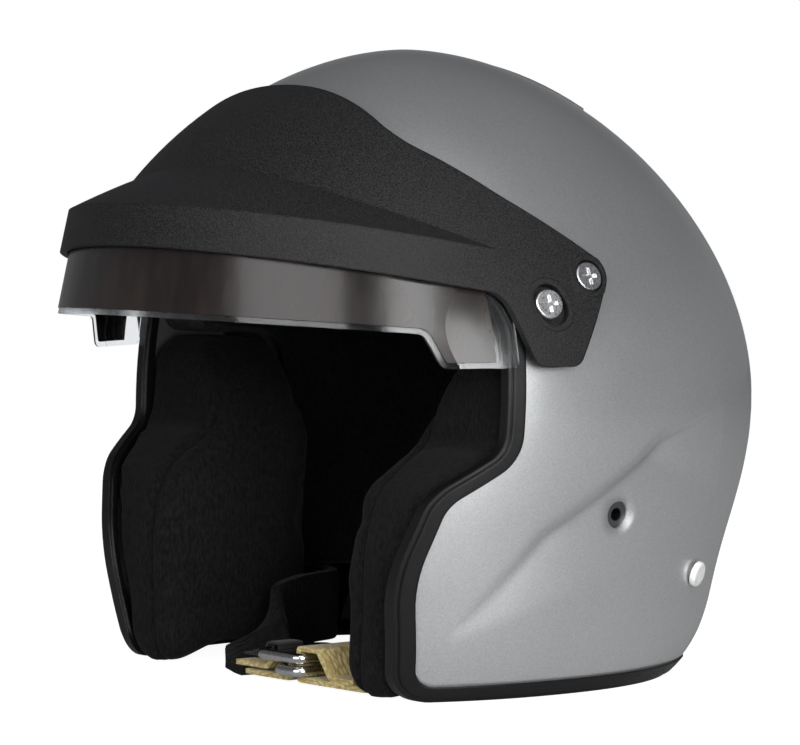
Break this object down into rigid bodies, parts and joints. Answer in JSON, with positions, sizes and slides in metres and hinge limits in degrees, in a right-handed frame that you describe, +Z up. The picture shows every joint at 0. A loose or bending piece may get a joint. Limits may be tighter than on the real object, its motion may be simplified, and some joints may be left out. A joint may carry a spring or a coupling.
{
  "type": "auto racing helmet",
  "caption": "Open-face auto racing helmet with a tilting peak, a tinted sun strip, padded lining, side terminals and a double-ring chin strap.",
  "frame": {"origin": "on the middle plane, below the middle of the helmet's length, in the plane that the helmet stands on", "axes": "+Z up, the face looks along -Y, the wearer's left is +X"},
  "size_m": [0.2594, 0.2757, 0.244],
  "materials": {
    "paint": "silver metallic paint under clear lacquer",
    "trim_rubber": "satin black rubber",
    "liner_foam": "black expanded foam",
    "lining": "black brushed fabric",
    "block_foam": "black firm foam",
    "pad_fabric": "black brushed fabric",
    "insert_steel": "plain machined steel",
    "peak_plastic": "fine-grained matt black",
    "screw_aluminium": "bright turned aluminium",
    "washer_plastic": "black plastic",
    "clear_strip": "clear gloss",
    "film": "dark gloss film",
    "rivet_white": "white painted head",
    "plate_steel": "plain steel",
    "webbing": "woven cream-yellow webbing",
    "sleeve_fabric": "black fabric",
    "ring_steel": "bright steel",
    "tab_fabric": "black ribbon"
  },
  "bodies": {
    "root": {"outer_shell": "paint", "edge_trim": "trim_rubber", "impact_liner": "liner_foam", "comfort_liner": "lining", "brow_pad": "lining", "nape_pad": "lining", "cheek_block_left": "block_foam", "cheek_block_right": "block_foam", "cheek_pad_left": "pad_fabric", "cheek_pad_right": "pad_fabric", "anchor_insert_left": "insert_steel", "anchor_insert_right": "insert_steel", "pivot_screws": "screw_aluminium", "slot_screws": "screw_aluminium", "screw_washers": "washer_plastic", "peak_nuts": "insert_steel", "strap_rivets": "rivet_white", "strap_plates": "plate_steel", "strap_left": "webbing", "strap_right": "webbing", "strap_sleeve_left": "sleeve_fabric", "strap_sleeve_right": "sleeve_fabric", "ring_inner": "ring_steel"},
    "peak": {"peak": "peak_plastic", "sun_strip": "clear_strip", "tint_film": "film"},
    "release_ring": {"ring_outer": "ring_steel", "pull_tab": "tab_fabric"}
  },
  "joints": [
    {"name": "peak_tilt", "type": "hinge", "parent": "root", "child": "peak", "pos_m": [0, -0.00963, 0.15612], "axis": [-1, 0, 0], "range_deg": [-2, 6]},
    {"name": "ring_release", "type": "hinge", "parent": "root", "child": "release_ring", "pos_m": [0.0257, -0.057, 0.0104], "axis": [0, 1, 0], "range_deg": [0, 45]}
  ]
}
